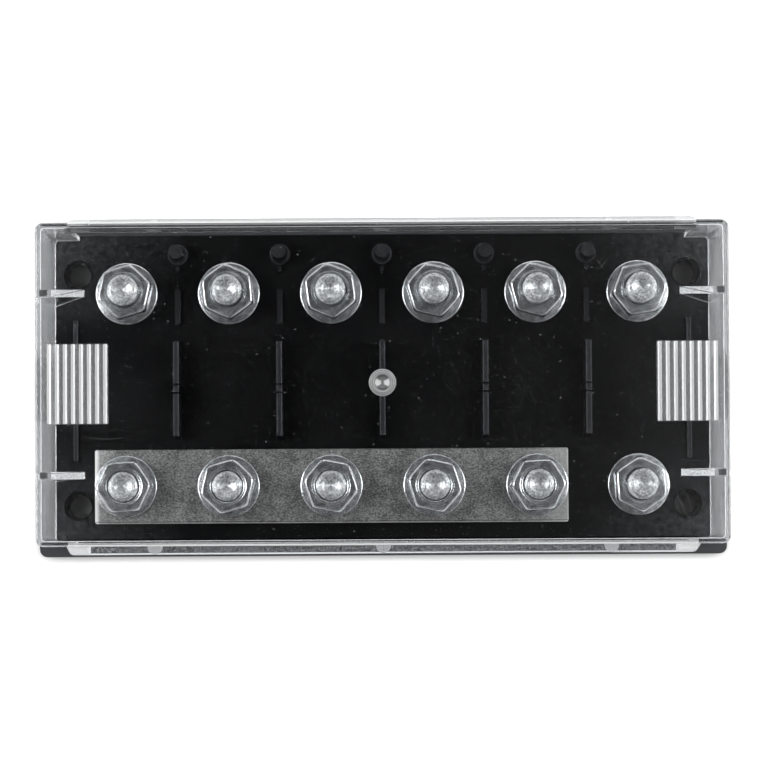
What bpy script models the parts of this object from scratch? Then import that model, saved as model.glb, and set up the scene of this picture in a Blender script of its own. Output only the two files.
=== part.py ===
"""Six-way bolt-down fuse holder with a clear clip-on cover.

A black moulded base carries two rows of studs with flange nuts, a flat busbar joins five of
the front studs, and a clear cover with ribbed grips stands on the base and lifts straight off.
Lengths are metres, +Z is up, +X runs along the holder and -Y is the busbar side.
"""

import math

import bmesh
import bpy
from mathutils import Matrix, Vector

# Layout of the poles
POLE_COUNT = 6
POLE_PITCH = 0.027
ROW_SPACING = 0.051
END_MARGIN = 0.020
SIDE_MARGIN = 0.0185

# Fits
CLEARANCE = 0.0003
CUT_OVERRUN = 0.001
JOIN_DEPTH = 0.0008

# Moulded base
BASE_TOP = 0.0075
LEDGE_HEIGHT = 0.005
LEDGE_WIDTH = 0.0028
TAB_REACH = 0.0038
TAB_WIDTH = 0.0038
BASE_CORNER_RADIUS = 0.002
BASE_EDGE_RADIUS = 0.0004

# Walls that divide the poles on the base
DIVIDER_THICKNESS = 0.0015
DIVIDER_HEIGHT = 0.0073
DIVIDER_HALF_LENGTH = 0.0131
DIVIDER_END_SLOPE = 0.0008
DIVIDER_BLOCK_LENGTH = 0.0017
DIVIDER_NOTCH_WIDTH = 0.0005
DIVIDER_NOTCH_DEPTH = 0.0022
CROSS_PIECE_LENGTH = 0.0036
CROSS_PIECE_THICKNESS = 0.0014
CROSS_PIECE_DROP = 0.0012
LOW_RIB_GAP = 0.0043
LOW_RIB_LENGTH = 0.0091
LOW_RIB_HEIGHT = 0.0012
STUB_GAP = 0.0049
STUB_LENGTH = 0.0011
STUB_WIDTH = 0.001

# Tapered cable pegs behind the rear row
PEG_FROM_STUD = 0.0104
PEG_FOOT_RADIUS = 0.0027
PEG_TOP_RADIUS = 0.00185
PEG_HEIGHT = 0.0075

# Low ribs and mounting holes at the two ends
END_RIB_FROM_STUD = 0.0135
END_RIB_LENGTH = 0.037
END_RIB_THICKNESS = 0.0012
END_RIB_HEIGHT = 0.0012
HOLE_FROM_STUD_X = 0.0128
HOLE_FROM_STUD_Y = 0.0051
HOLE_RADIUS = 0.00315
COUNTERBORE_RADIUS = 0.004
COUNTERBORE_DEPTH = 0.0015

# Latch tongues that hold the cover's ends
TONGUE_WIDTH = 0.016
TONGUE_THICKNESS = 0.0022
TONGUE_TOP = 0.014
TONGUE_LEAD_IN = 0.0012
TONGUE_ROOT_DEPTH = 0.0015

# Studs: hex-headed bolts put in from below
STUD_RADIUS = 0.004
STUD_TOP = 0.0198
STUD_CHAMFER = 0.0007
HEAD_ACROSS_FLATS = 0.013
HEAD_HEIGHT = 0.0053
HEAD_RECESS = 0.0002

# Flange nuts
NUT_ACROSS_FLATS = 0.013
NUT_HEIGHT = 0.008
NUT_FLANGE_RADIUS = 0.0084
NUT_RIM_HEIGHT = 0.0011
NUT_FLANGE_HEIGHT = 0.0025
NUT_CHAMFER = 0.0009
NUT_SEAT_CHAMFER = 0.0006
REAR_NUT_ANGLES = (17, 36, 38, 47, 45, 9)
FRONT_NUT_ANGLES = (4, 16, 49, 48, 3, 34)

# Busbar
BUSBAR_POLES = 5
BUSBAR_END = 0.00825
BUSBAR_WIDTH = 0.0195
BUSBAR_THICKNESS = 0.003
BUSBAR_CORNER_RADIUS = 0.0006
BUSBAR_EDGE_RADIUS = 0.0002

# Clear cover
COVER_SETBACK = 0.0035
COVER_TOP = 0.0383
COVER_PLATE = 0.002
COVER_WALL = 0.0012
COVER_CORNER_RADIUS = 0.002
COVER_EDGE_RADIUS = 0.0008
COVER_INNER_CORNER_RADIUS = 0.001
COVER_INNER_EDGE_RADIUS = 0.0003
CORNER_RETURN = 0.0075
GUSSET_SPACING = 0.046
GUSSET_THICKNESS = 0.0018
GUSSET_REACH = 0.0112
GUSSET_TOE = 0.0012
LIP_BOTTOM = 0.024
LIP_THICKNESS = 0.0015
LIP_REACH = 0.0027
LIP_ROOT = 0.0008
LIP_CORNER_RADIUS = 0.0015
LIP_END_OVERLAP = 0.0009
BRACKET_LENGTH = 0.005
LIP_PAD_RADIUS = 0.0019
LIP_PAD_HEIGHT = 0.0005
LIP_PAD_SPACING = 0.0586
GATE_FOOT_RADIUS = 0.0034
GATE_CREST_RADIUS = 0.0027
GATE_HEIGHT = 0.0007
GATE_DISH_RADIUS = 0.0023
GATE_DISH_FLOOR_RADIUS = 0.0009
GATE_DISH_DEPTH = 0.0009

# Ribbed grips on the cover
GRIP_RIDGES = 8
GRIP_PITCH = 0.00202
GRIP_RIDGE_WIDTH = 0.00095
GRIP_LENGTH = 0.020
GRIP_HEIGHT = 0.0009
GRIP_FROM_END = 0.0031
GRIP_TIP_SHARE = 0.55

# How finely round shapes are cut
ROUND_SEGMENTS = 24
HOLE_SEGMENTS = 20
CORNER_SEGMENTS = 4
EDGE_SEGMENTS = 2
ROUND_PROFILE = 0.5
SMOOTH_ANGLE = math.radians(30)

# Places worked out from the sizes above
END_STUD_X = POLE_PITCH * (POLE_COUNT - 1) / 2
STUD_Y = ROW_SPACING / 2
BODY_HALF_LENGTH = END_STUD_X + END_MARGIN
BASE_HALF_LENGTH = BODY_HALF_LENGTH + TAB_REACH
BASE_HALF_WIDTH = STUD_Y + SIDE_MARGIN
PLATFORM_HALF_WIDTH = BASE_HALF_WIDTH - LEDGE_WIDTH
COVER_HALF_WIDTH = BASE_HALF_WIDTH - COVER_SETBACK
COVER_BOTTOM = BASE_TOP + CLEARANCE
PLATE_UNDERSIDE = COVER_TOP - COVER_PLATE
LIP_HALF_LENGTH = BODY_HALF_LENGTH - CORNER_RETURN + LIP_END_OVERLAP
LIP_MIDDLE = LIP_BOTTOM + LIP_THICKNESS / 2
LIP_TOP = LIP_BOTTOM + LIP_THICKNESS
HEX_CORNER = 1 / math.cos(math.pi / 6)


def new_collection(name):
    collection = bpy.data.collections.new(name)
    bpy.context.scene.collection.children.link(collection)
    return collection


def clear_scene():
    for item in list(bpy.data.objects):
        bpy.data.objects.remove(item, do_unlink=True)


def new_object(name, shape, collection):
    """Turn a finished bmesh into an object at the origin."""
    bmesh.ops.recalc_face_normals(shape, faces=shape.faces)
    mesh = bpy.data.meshes.new(name)
    shape.to_mesh(mesh)
    shape.free()
    item = bpy.data.objects.new(name, mesh)
    collection.objects.link(item)
    return item


def add_block(shape, low, high):
    """Add a box between two corners and return its vertices."""
    low, high = Vector(low), Vector(high)
    size = Matrix.Diagonal((*(high - low), 1))
    place = Matrix.Translation((low + high) / 2)
    return bmesh.ops.create_cube(shape, size=1, matrix=place @ size)["verts"]


def add_round(shape, centre, bottom, top, radius, top_radius=None, segments=ROUND_SEGMENTS, turn=0):
    """Add an upright cylinder, cone or prism between two heights."""
    place = Matrix.Translation((centre[0], centre[1], (bottom + top) / 2))
    tip = radius if top_radius is None else top_radius
    bmesh.ops.create_cone(
        shape, cap_ends=True, segments=segments, radius1=radius, radius2=tip,
        depth=top - bottom, matrix=place @ Matrix.Rotation(turn, 4, "Z"))


def round_edges(shape, verts, along, radius, segments):
    """Bevel the edges of some vertices that a test picks out."""
    edges = {edge for vert in verts for edge in vert.link_edges if along(edge)}
    bmesh.ops.bevel(
        shape, geom=list(edges), offset=radius, offset_type="OFFSET", segments=segments,
        profile=ROUND_PROFILE, affect="EDGES", clamp_overlap=True)


def is_upright(edge):
    start, end = (vert.co for vert in edge.verts)
    return abs(start.z - end.z) > abs(start.x - end.x) + abs(start.y - end.y)


def lies_at(height):
    """Return a test for edges that lie flat at one height."""
    def test(edge):
        return all(abs(vert.co.z - height) < BASE_EDGE_RADIUS / 10 for vert in edge.verts)
    return test


def rounded_slab(name, half_length, half_width, bottom, top, corner, edge, collection):
    """A block with round upright corners and a softened top edge."""
    shape = bmesh.new()
    verts = add_block(shape, (-half_length, -half_width, bottom), (half_length, half_width, top))
    round_edges(shape, verts, is_upright, corner, CORNER_SEGMENTS)
    round_edges(shape, list(shape.verts), lies_at(top), edge, EDGE_SEGMENTS)
    return new_object(name, shape, collection)


def extruded_outline(points, thickness):
    """Fill a flat outline, give it a thickness and return it as a mesh around its own plane."""
    curve = bpy.data.curves.new("outline", "CURVE")
    curve.dimensions = "2D"
    curve.fill_mode = "BOTH"
    curve.extrude = thickness / 2
    spline = curve.splines.new("POLY")
    spline.points.add(len(points) - 1)
    for point, (x, y) in zip(spline.points, points):
        point.co = (x, y, 0, 1)
    spline.use_cyclic_u = True
    holder = bpy.data.objects.new("outline", curve)
    bpy.context.scene.collection.objects.link(holder)
    bpy.context.view_layer.update()
    mesh = bpy.data.meshes.new_from_object(holder.evaluated_get(bpy.context.evaluated_depsgraph_get()))
    bpy.data.objects.remove(holder, do_unlink=True)
    bpy.data.curves.remove(curve)
    shape = bmesh.new()
    shape.from_mesh(mesh)
    bmesh.ops.remove_doubles(shape, verts=shape.verts, dist=CLEARANCE / 100)
    bmesh.ops.recalc_face_normals(shape, faces=shape.faces)
    shape.to_mesh(mesh)
    shape.free()
    return mesh


def copies_of(name, mesh, places, collection):
    """Join placed copies of a mesh into one object and drop the first mesh."""
    shape = bmesh.new()
    for place in places:
        copy = mesh.copy()
        copy.transform(place)
        shape.from_mesh(copy)
        bpy.data.meshes.remove(copy)
    bpy.data.meshes.remove(mesh)
    return new_object(name, shape, collection)


def combine(target, tool, operation):
    """Add a Boolean modifier that joins or cuts with another object."""
    modifier = target.modifiers.new(tool.name, "BOOLEAN")
    modifier.operation = operation
    modifier.solver = "EXACT"
    modifier.object = tool
    put_aside(tool)


def put_aside(item):
    """Keep a helper shape out of the renders."""
    item.hide_render = True
    item.display_type = "WIRE"


def finished_mesh(item, name):
    """Return the mesh of a helper object with all its modifiers carried out."""
    bpy.context.view_layer.update()
    evaluated = item.evaluated_get(bpy.context.evaluated_depsgraph_get())
    mesh = bpy.data.meshes.new_from_object(evaluated)
    mesh.name = name
    mesh.shade_smooth()
    mesh.set_sharp_from_angle(angle=SMOOTH_ANGLE)
    put_aside(item)
    return mesh


def make_material(name, colour, roughness, metallic, transmission=0.0):
    material = bpy.data.materials.new(name)
    material.use_nodes = True
    shader = material.node_tree.nodes["Principled BSDF"]
    shader.inputs["Base Color"].default_value = (*colour, 1)
    shader.inputs["Roughness"].default_value = roughness
    shader.inputs["Metallic"].default_value = metallic
    shader.inputs["Transmission Weight"].default_value = transmission
    material.diffuse_color = (*colour, 1)
    return material


def pole_places():
    """X of each pole, from left to right."""
    return [POLE_PITCH * index - END_STUD_X for index in range(POLE_COUNT)]


def divider_places():
    """X half-way between neighbouring poles."""
    return [place + POLE_PITCH / 2 for place in pole_places()[:-1]]


def mirrored(x, y):
    """The four places that share a distance from both centre lines."""
    return [(side * x, row * y) for side in (-1, 1) for row in (-1, 1)]


def divider_outline():
    """Side view of a wall with two notches, as distance along Y and height over the platform."""
    near = DIVIDER_BLOCK_LENGTH / 2
    far = near + DIVIDER_NOTCH_WIDTH
    notch = DIVIDER_HEIGHT - DIVIDER_NOTCH_DEPTH
    half = [
        (near, DIVIDER_HEIGHT), (near, notch), (far, notch), (far, DIVIDER_HEIGHT),
        (DIVIDER_HALF_LENGTH - DIVIDER_END_SLOPE, DIVIDER_HEIGHT),
        (DIVIDER_HALF_LENGTH, -JOIN_DEPTH),
    ]
    return half + [(-y, z) for y, z in reversed(half)]


def add_dividers(cutters):
    """The tall walls, their cross pieces and the low ribs in line with them behind."""
    upright = Matrix.Rotation(math.pi / 2, 4, "Z") @ Matrix.Rotation(math.pi / 2, 4, "X")
    wall = extruded_outline(divider_outline(), DIVIDER_THICKNESS)
    places = [Matrix.Translation((x, 0, BASE_TOP)) @ upright for x in divider_places()]
    walls = copies_of("divider_walls", wall, places, cutters)

    shape = bmesh.new()
    cross_top = BASE_TOP + DIVIDER_HEIGHT - DIVIDER_NOTCH_DEPTH - CROSS_PIECE_DROP
    rib_start = DIVIDER_HALF_LENGTH + LOW_RIB_GAP
    stub_start = rib_start + LOW_RIB_LENGTH + STUB_GAP
    spans = [
        (rib_start, rib_start + LOW_RIB_LENGTH, DIVIDER_THICKNESS / 2),
        (stub_start, stub_start + STUB_LENGTH, STUB_WIDTH / 2)]
    cross = bmesh.new()
    for x in divider_places():
        add_block(
            cross, (x - CROSS_PIECE_LENGTH / 2, -CROSS_PIECE_THICKNESS / 2, BASE_TOP - JOIN_DEPTH),
            (x + CROSS_PIECE_LENGTH / 2, CROSS_PIECE_THICKNESS / 2, cross_top))
        for near, far, half_width in spans:
            add_block(
                shape, (x - half_width, near, BASE_TOP - JOIN_DEPTH),
                (x + half_width, far, BASE_TOP + LOW_RIB_HEIGHT))
    return [walls, new_object("divider_cross_pieces", cross, cutters),
            new_object("low_ribs", shape, cutters)]


def add_pegs(cutters):
    shape = bmesh.new()
    for x in divider_places():
        add_round(
            shape, (x, STUD_Y + PEG_FROM_STUD), BASE_TOP - JOIN_DEPTH, BASE_TOP + PEG_HEIGHT,
            PEG_FOOT_RADIUS, PEG_TOP_RADIUS, segments=HOLE_SEGMENTS)
    return new_object("cable_pegs", shape, cutters)


def add_end_ribs(cutters):
    shape = bmesh.new()
    for side in (-1, 1):
        x = side * (END_STUD_X + END_RIB_FROM_STUD)
        add_block(
            shape, (x - END_RIB_THICKNESS / 2, -END_RIB_LENGTH / 2, BASE_TOP - JOIN_DEPTH),
            (x + END_RIB_THICKNESS / 2, END_RIB_LENGTH / 2, BASE_TOP + END_RIB_HEIGHT))
    return new_object("end_ribs", shape, cutters)


def tongue_outline():
    """Side view of a latch tongue, as distance out from the body's end and height."""
    inner = CLEARANCE
    outer = inner + TONGUE_THICKNESS
    root = LEDGE_HEIGHT
    return [
        (-TONGUE_ROOT_DEPTH, 0), (outer, 0), (outer, TONGUE_TOP - TONGUE_LEAD_IN / 2),
        (outer - TONGUE_LEAD_IN / 2, TONGUE_TOP), (inner + TONGUE_LEAD_IN, TONGUE_TOP),
        (inner, TONGUE_TOP - TONGUE_LEAD_IN), (inner, root), (-TONGUE_ROOT_DEPTH, root),
    ]


def add_tongues(cutters):
    upright = Matrix.Rotation(math.pi / 2, 4, "X")
    places = []
    for turn in (0, math.pi):
        place = Matrix.Rotation(turn, 4, "Z") @ Matrix.Translation((BODY_HALF_LENGTH, 0, 0)) @ upright
        places.append(place)
    tongue = extruded_outline(tongue_outline(), TONGUE_WIDTH)
    return copies_of("latch_tongues", tongue, places, cutters)


def end_notch_cutters(cutters):
    """Cut the low slab back to the body between the corner tabs."""
    shape = bmesh.new()
    half_width = BASE_HALF_WIDTH - TAB_WIDTH
    reach = BASE_HALF_LENGTH + CUT_OVERRUN
    for near, far in ((BODY_HALF_LENGTH, reach), (-reach, -BODY_HALF_LENGTH)):
        add_block(
            shape, (near, -half_width, -CUT_OVERRUN), (far, half_width, LEDGE_HEIGHT + CUT_OVERRUN))
    return new_object("end_notches", shape, cutters)


def hole_cutters(name, places, radius, bottom, top, cutters, segments=HOLE_SEGMENTS):
    shape = bmesh.new()
    for place in places:
        add_round(shape, place, bottom, top, radius, segments=segments)
    return new_object(name, shape, cutters)


def stud_places():
    return [(x, row * STUD_Y) for row in (-1, 1) for x in pole_places()]


def build_base(parts, cutters, material):
    """The moulded base: slab, platform, dividers, pegs, ribs, tongues and all its holes."""
    base = rounded_slab(
        "base", BASE_HALF_LENGTH, BASE_HALF_WIDTH, 0, LEDGE_HEIGHT,
        BASE_CORNER_RADIUS, BASE_EDGE_RADIUS, parts)
    platform = rounded_slab(
        "platform", BODY_HALF_LENGTH, PLATFORM_HALF_WIDTH, 0, BASE_TOP,
        BASE_CORNER_RADIUS, BASE_EDGE_RADIUS, cutters)
    combine(base, end_notch_cutters(cutters), "DIFFERENCE")
    combine(base, platform, "UNION")
    for tool in add_dividers(cutters):
        combine(base, tool, "UNION")
    for add_feature in (add_pegs, add_end_ribs, add_tongues):
        combine(base, add_feature(cutters), "UNION")

    holes = mirrored(END_STUD_X + HOLE_FROM_STUD_X, STUD_Y + HOLE_FROM_STUD_Y)
    pocket_radius = (HEAD_ACROSS_FLATS / 2 + CLEARANCE) * HEX_CORNER
    pocket_top = HEAD_RECESS + HEAD_HEIGHT + CLEARANCE
    above = BASE_TOP + CUT_OVERRUN
    below = -CUT_OVERRUN
    seat = BASE_TOP - COUNTERBORE_DEPTH
    for tool in (
        hole_cutters("stud_holes", stud_places(), STUD_RADIUS + CLEARANCE, below, above, cutters),
        hole_cutters("head_pockets", stud_places(), pocket_radius, below, pocket_top, cutters, 6),
        hole_cutters("mounting_holes", holes, HOLE_RADIUS, below, above, cutters),
        hole_cutters("counterbores", holes, COUNTERBORE_RADIUS, seat, above, cutters),
    ):
        combine(base, tool, "DIFFERENCE")
    base.data.materials.append(material)
    return base


def stud_mesh(cutters, material):
    """A hex-headed bolt standing on its head, with its foot at z = 0."""
    shape = bmesh.new()
    add_round(shape, (0, 0), 0, HEAD_HEIGHT, HEAD_ACROSS_FLATS / 2 * HEX_CORNER, segments=6)
    head = new_object("stud_head", shape, cutters)
    top = STUD_TOP - HEAD_RECESS
    points = [(0, top), (STUD_RADIUS - STUD_CHAMFER, top), (STUD_RADIUS, top - STUD_CHAMFER),
              (STUD_RADIUS, HEAD_HEIGHT / 2), (0, HEAD_HEIGHT / 2)]
    shank = turned_object("stud_shank", points, cutters)
    combine(head, shank, "UNION")
    mesh = finished_mesh(head, "stud")
    mesh.materials.append(material)
    return mesh


def turned_object(name, points, collection):
    """Turn a profile, listed from the top down its outer side, about Z."""
    mesh = bpy.data.meshes.new(name)
    edges = [(index, index + 1) for index in range(len(points) - 1)]
    mesh.from_pydata([(x, 0, z) for x, z in points], edges, [])
    item = bpy.data.objects.new(name, mesh)
    collection.objects.link(item)
    screw = item.modifiers.new("turn", "SCREW")
    screw.axis = "Z"
    screw.steps = ROUND_SEGMENTS
    screw.render_steps = ROUND_SEGMENTS
    screw.use_merge_vertices = True
    screw.merge_threshold = CLEARANCE / 100
    return item


def nut_mesh(cutters, material):
    """A flange nut standing on its flange, with its foot at z = 0 and a corner on +X."""
    corner = NUT_ACROSS_FLATS / 2 * HEX_CORNER
    chamfer_start = NUT_HEIGHT - NUT_CHAMFER
    envelope = turned_object("nut_envelope", [
        (0, NUT_HEIGHT), (NUT_ACROSS_FLATS / 2 - NUT_CHAMFER / 3, NUT_HEIGHT),
        (corner + CLEARANCE, chamfer_start), (corner + CLEARANCE, NUT_RIM_HEIGHT / 2),
        (0, NUT_RIM_HEIGHT / 2)], cutters)
    flange = turned_object("nut_flange", [
        (0, NUT_FLANGE_HEIGHT), (NUT_ACROSS_FLATS / 2, NUT_FLANGE_HEIGHT),
        (NUT_FLANGE_RADIUS, NUT_RIM_HEIGHT), (NUT_FLANGE_RADIUS, 0), (0, 0)], cutters)
    shape = bmesh.new()
    add_round(shape, (0, 0), NUT_RIM_HEIGHT / 2, NUT_HEIGHT, corner, segments=6)
    nut = new_object("nut_hexagon", shape, cutters)
    bore_radius = STUD_RADIUS + CLEARANCE
    above = NUT_HEIGHT + CUT_OVERRUN
    bore = turned_object("nut_bore", [
        (0, above), (bore_radius + NUT_SEAT_CHAMFER + CUT_OVERRUN, above),
        (bore_radius, NUT_HEIGHT - NUT_SEAT_CHAMFER), (bore_radius, -CUT_OVERRUN),
        (0, -CUT_OVERRUN)], cutters)
    combine(nut, envelope, "INTERSECT")
    combine(nut, flange, "UNION")
    combine(nut, bore, "DIFFERENCE")
    mesh = finished_mesh(nut, "nut")
    mesh.materials.append(material)
    return mesh


def place_fasteners(parts, cutters, base, material):
    """Twelve studs through the base, each with its flange nut tightened down."""
    stud = stud_mesh(cutters, material)
    nut = nut_mesh(cutters, material)
    rows = (("front", -STUD_Y, FRONT_NUT_ANGLES), ("rear", STUD_Y, REAR_NUT_ANGLES))
    for row, y, angles in rows:
        for index, x in enumerate(pole_places()):
            on_busbar = row == "front" and index < BUSBAR_POLES
            lift = BUSBAR_THICKNESS + CLEARANCE if on_busbar else 0
            bolt = bpy.data.objects.new(f"stud_{row}_{index + 1}", stud)
            bolt.location = (x, y, HEAD_RECESS)
            ring = bpy.data.objects.new(f"nut_{row}_{index + 1}", nut)
            ring.location = (x, y, BASE_TOP + CLEARANCE + lift)
            ring.rotation_euler.z = math.radians(angles[index % len(angles)])
            for item in (bolt, ring):
                parts.objects.link(item)
                item.parent = base


def build_busbar(parts, cutters, base, material):
    """The flat bar under the nuts of the front studs."""
    poles = pole_places()[:BUSBAR_POLES]
    middle = (poles[0] + poles[-1]) / 2
    half_length = (poles[-1] - poles[0]) / 2 + BUSBAR_END
    bar = rounded_slab(
        "busbar", half_length, BUSBAR_WIDTH / 2, 0, BUSBAR_THICKNESS,
        BUSBAR_CORNER_RADIUS, BUSBAR_EDGE_RADIUS, parts)
    bar.location = (middle, -STUD_Y, BASE_TOP + CLEARANCE)
    bar.parent = base
    holes = hole_cutters(
        "busbar_holes", [(x, -STUD_Y) for x in poles], STUD_RADIUS + CLEARANCE,
        BASE_TOP, BASE_TOP + BUSBAR_THICKNESS + CUT_OVERRUN, cutters)
    combine(bar, holes, "DIFFERENCE")
    bar.data.materials.append(material)


def gusset_outline():
    """Side view of a gusset, as distance in from the body's end and height."""
    inner = COVER_WALL
    joined = COVER_WALL / 2
    toe = COVER_BOTTOM + GUSSET_TOE
    return [
        (joined, toe), (joined, PLATE_UNDERSIDE + JOIN_DEPTH),
        (inner + GUSSET_REACH, PLATE_UNDERSIDE + JOIN_DEPTH), (inner + GUSSET_REACH, PLATE_UNDERSIDE),
        (inner, toe),
    ]


def add_gussets(cutters):
    upright = Matrix.Rotation(math.pi / 2, 4, "X")
    to_end = Matrix.Translation((-BODY_HALF_LENGTH, 0, 0))
    places = []
    for turn in (0, math.pi):
        for row in (-1, 1):
            spin = Matrix.Rotation(turn, 4, "Z")
            places.append(Matrix.Translation((0, row * GUSSET_SPACING / 2, 0)) @ spin @ to_end @ upright)
    return copies_of("gussets", extruded_outline(gusset_outline(), GUSSET_THICKNESS), places, cutters)


def add_lips(cutters):
    """A flat lip along the lower edge of each long side, round at its outer corners."""
    outer = COVER_HALF_WIDTH + LIP_REACH
    inner = COVER_HALF_WIDTH - LIP_ROOT

    def is_outer_corner(edge):
        return is_upright(edge) and abs(edge.verts[0].co.y) > COVER_HALF_WIDTH

    shape = bmesh.new()
    for near, far in ((inner, outer), (-outer, -inner)):
        verts = add_block(
            shape, (-LIP_HALF_LENGTH, near, LIP_BOTTOM), (LIP_HALF_LENGTH, far, LIP_TOP))
        round_edges(shape, verts, is_outer_corner, LIP_CORNER_RADIUS, CORNER_SEGMENTS)
    return new_object("side_lips", shape, cutters)


def add_lip_pads(cutters):
    """Round ejector pads that stand a little proud of the lips."""
    shape = bmesh.new()
    y = COVER_HALF_WIDTH + LIP_REACH - LIP_PAD_RADIUS - CLEARANCE / 3
    for row in (-1, 1):
        for step in (-1, 0, 1):
            add_round(
                shape, (step * LIP_PAD_SPACING, row * y), LIP_MIDDLE, LIP_TOP + LIP_PAD_HEIGHT,
                LIP_PAD_RADIUS, segments=HOLE_SEGMENTS)
    return new_object("lip_pads", shape, cutters)


def bracket_outline():
    """End view of a bracket between lip and side, as distance out from the side and height."""
    inner = -COVER_WALL / 2
    outer = LIP_REACH - CLEARANCE
    return [
        (inner, LIP_MIDDLE), (outer, LIP_MIDDLE), (outer, LIP_TOP + LIP_THICKNESS),
        (-CLEARANCE, PLATE_UNDERSIDE), (inner, PLATE_UNDERSIDE),
    ]


def add_brackets(cutters):
    """Four thick brackets that stand on the ends of the lips."""
    upright = Matrix.Rotation(math.pi / 2, 4, "Z") @ Matrix.Rotation(math.pi / 2, 4, "X")
    middle = LIP_HALF_LENGTH - LIP_CORNER_RADIUS / 2 - BRACKET_LENGTH / 2
    places = []
    for turn in (0, math.pi):
        for side in (-1, 1):
            spin = Matrix.Rotation(turn, 4, "Z")
            places.append(spin @ Matrix.Translation((side * middle, COVER_HALF_WIDTH, 0)) @ upright)
    return copies_of("lip_brackets", extruded_outline(bracket_outline(), BRACKET_LENGTH), places, cutters)


def grip_ridge_outline():
    """End view of one ridge: flat flanks that lean in to a narrower top."""
    half = GRIP_RIDGE_WIDTH / 2
    tip = half * GRIP_TIP_SHARE
    return [(-half, -JOIN_DEPTH), (half, -JOIN_DEPTH), (half, 0), (tip, GRIP_HEIGHT),
            (-tip, GRIP_HEIGHT), (-half, 0)]


def add_grips(cutters):
    upright = Matrix.Rotation(math.pi / 2, 4, "X")
    outermost = BODY_HALF_LENGTH - GRIP_FROM_END - GRIP_RIDGE_WIDTH / 2
    places = []
    for side in (-1, 1):
        for index in range(GRIP_RIDGES):
            x = side * (outermost - GRIP_PITCH * index)
            places.append(Matrix.Translation((x, 0, COVER_TOP)) @ upright)
    return copies_of("grip_ridges", extruded_outline(grip_ridge_outline(), GRIP_LENGTH), places, cutters)


def add_gate(cutters):
    """The moulding gate: a low sloping ring on the plate and the dish that is cut into it."""
    top = COVER_TOP + GATE_HEIGHT
    above = top + CUT_OVERRUN
    foot = COVER_TOP - JOIN_DEPTH
    floor = top - GATE_DISH_DEPTH
    ring = turned_object("gate_ring", [
        (0, top), (GATE_CREST_RADIUS, top), (GATE_FOOT_RADIUS, COVER_TOP),
        (GATE_FOOT_RADIUS, foot), (0, foot)], cutters)
    dish = turned_object("gate_dish", [
        (0, above), (GATE_DISH_RADIUS, above), (GATE_DISH_RADIUS, top),
        (GATE_DISH_FLOOR_RADIUS, floor), (0, floor)], cutters)
    return ring, dish


def build_cover(parts, cutters, slide, material):
    """The clear cover: one moulding with walls, side openings, lips, gussets and grips."""
    cover = rounded_slab(
        "cover", BODY_HALF_LENGTH, COVER_HALF_WIDTH, COVER_BOTTOM, COVER_TOP,
        COVER_CORNER_RADIUS, COVER_EDGE_RADIUS, parts)
    below = COVER_BOTTOM - CUT_OVERRUN
    inside = rounded_slab(
        "cover_inside", BODY_HALF_LENGTH - COVER_WALL, COVER_HALF_WIDTH - COVER_WALL,
        below, PLATE_UNDERSIDE, COVER_INNER_CORNER_RADIUS, COVER_INNER_EDGE_RADIUS, cutters)
    shape = bmesh.new()
    reach = COVER_HALF_WIDTH + CUT_OVERRUN
    half_gap = BODY_HALF_LENGTH - CORNER_RETURN
    add_block(shape, (-half_gap, -reach, below), (half_gap, reach, LIP_MIDDLE))
    sides = new_object("cover_open_sides", shape, cutters)
    combine(cover, inside, "DIFFERENCE")
    combine(cover, sides, "DIFFERENCE")
    for add_feature in (add_lips, add_brackets, add_lip_pads, add_gussets, add_grips):
        combine(cover, add_feature(cutters), "UNION")
    gate, dish = add_gate(cutters)
    combine(cover, gate, "UNION")
    combine(cover, dish, "DIFFERENCE")
    cover.parent = slide
    cover.location.z = -slide.location.z
    cover.data.materials.append(material)


def main():
    clear_scene()
    parts = new_collection("fuse_holder")
    cutters = new_collection("cutters")
    black = make_material("base_black", (0.012, 0.012, 0.013), 0.35, 0.0)
    clear = make_material("cover_clear", (0.93, 0.95, 0.96), 0.05, 0.0, transmission=1.0)
    plated = make_material("busbar_plating", (0.42, 0.41, 0.38), 0.38, 1.0)
    zinc = make_material("zinc_plating", (0.66, 0.69, 0.70), 0.25, 1.0)
    base = build_base(parts, cutters, black)
    build_busbar(parts, cutters, base, plated)
    place_fasteners(parts, cutters, base, zinc)
    slide = bpy.data.objects.new("cover_slide", None)
    slide.location.z = COVER_BOTTOM
    parts.objects.link(slide)
    build_cover(parts, cutters, slide, clear)


main()
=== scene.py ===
"""Dressed scene of the six-way fuse holder: camera, studio, materials and detailed pieces."""

import math

import bmesh
import bpy
from mathutils import Matrix, Vector


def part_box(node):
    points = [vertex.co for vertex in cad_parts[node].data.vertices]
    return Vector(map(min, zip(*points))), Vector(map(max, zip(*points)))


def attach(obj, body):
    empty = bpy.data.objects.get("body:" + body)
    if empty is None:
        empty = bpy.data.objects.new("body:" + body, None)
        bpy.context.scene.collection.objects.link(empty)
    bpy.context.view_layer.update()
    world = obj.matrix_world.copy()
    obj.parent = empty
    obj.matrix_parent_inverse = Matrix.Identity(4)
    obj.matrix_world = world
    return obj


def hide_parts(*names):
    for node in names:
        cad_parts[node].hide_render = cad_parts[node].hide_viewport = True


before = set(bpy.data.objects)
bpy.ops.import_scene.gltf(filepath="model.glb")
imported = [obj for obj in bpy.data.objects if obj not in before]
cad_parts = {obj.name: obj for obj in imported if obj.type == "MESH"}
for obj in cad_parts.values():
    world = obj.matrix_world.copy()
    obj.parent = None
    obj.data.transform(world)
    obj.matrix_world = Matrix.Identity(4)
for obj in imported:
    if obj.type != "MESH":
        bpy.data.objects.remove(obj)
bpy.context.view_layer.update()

# A millimetre and a place past everything, in metres, and a whole turn
MM = 0.001
FAR = 1.0
FULL_TURN = 2 * math.pi

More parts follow.
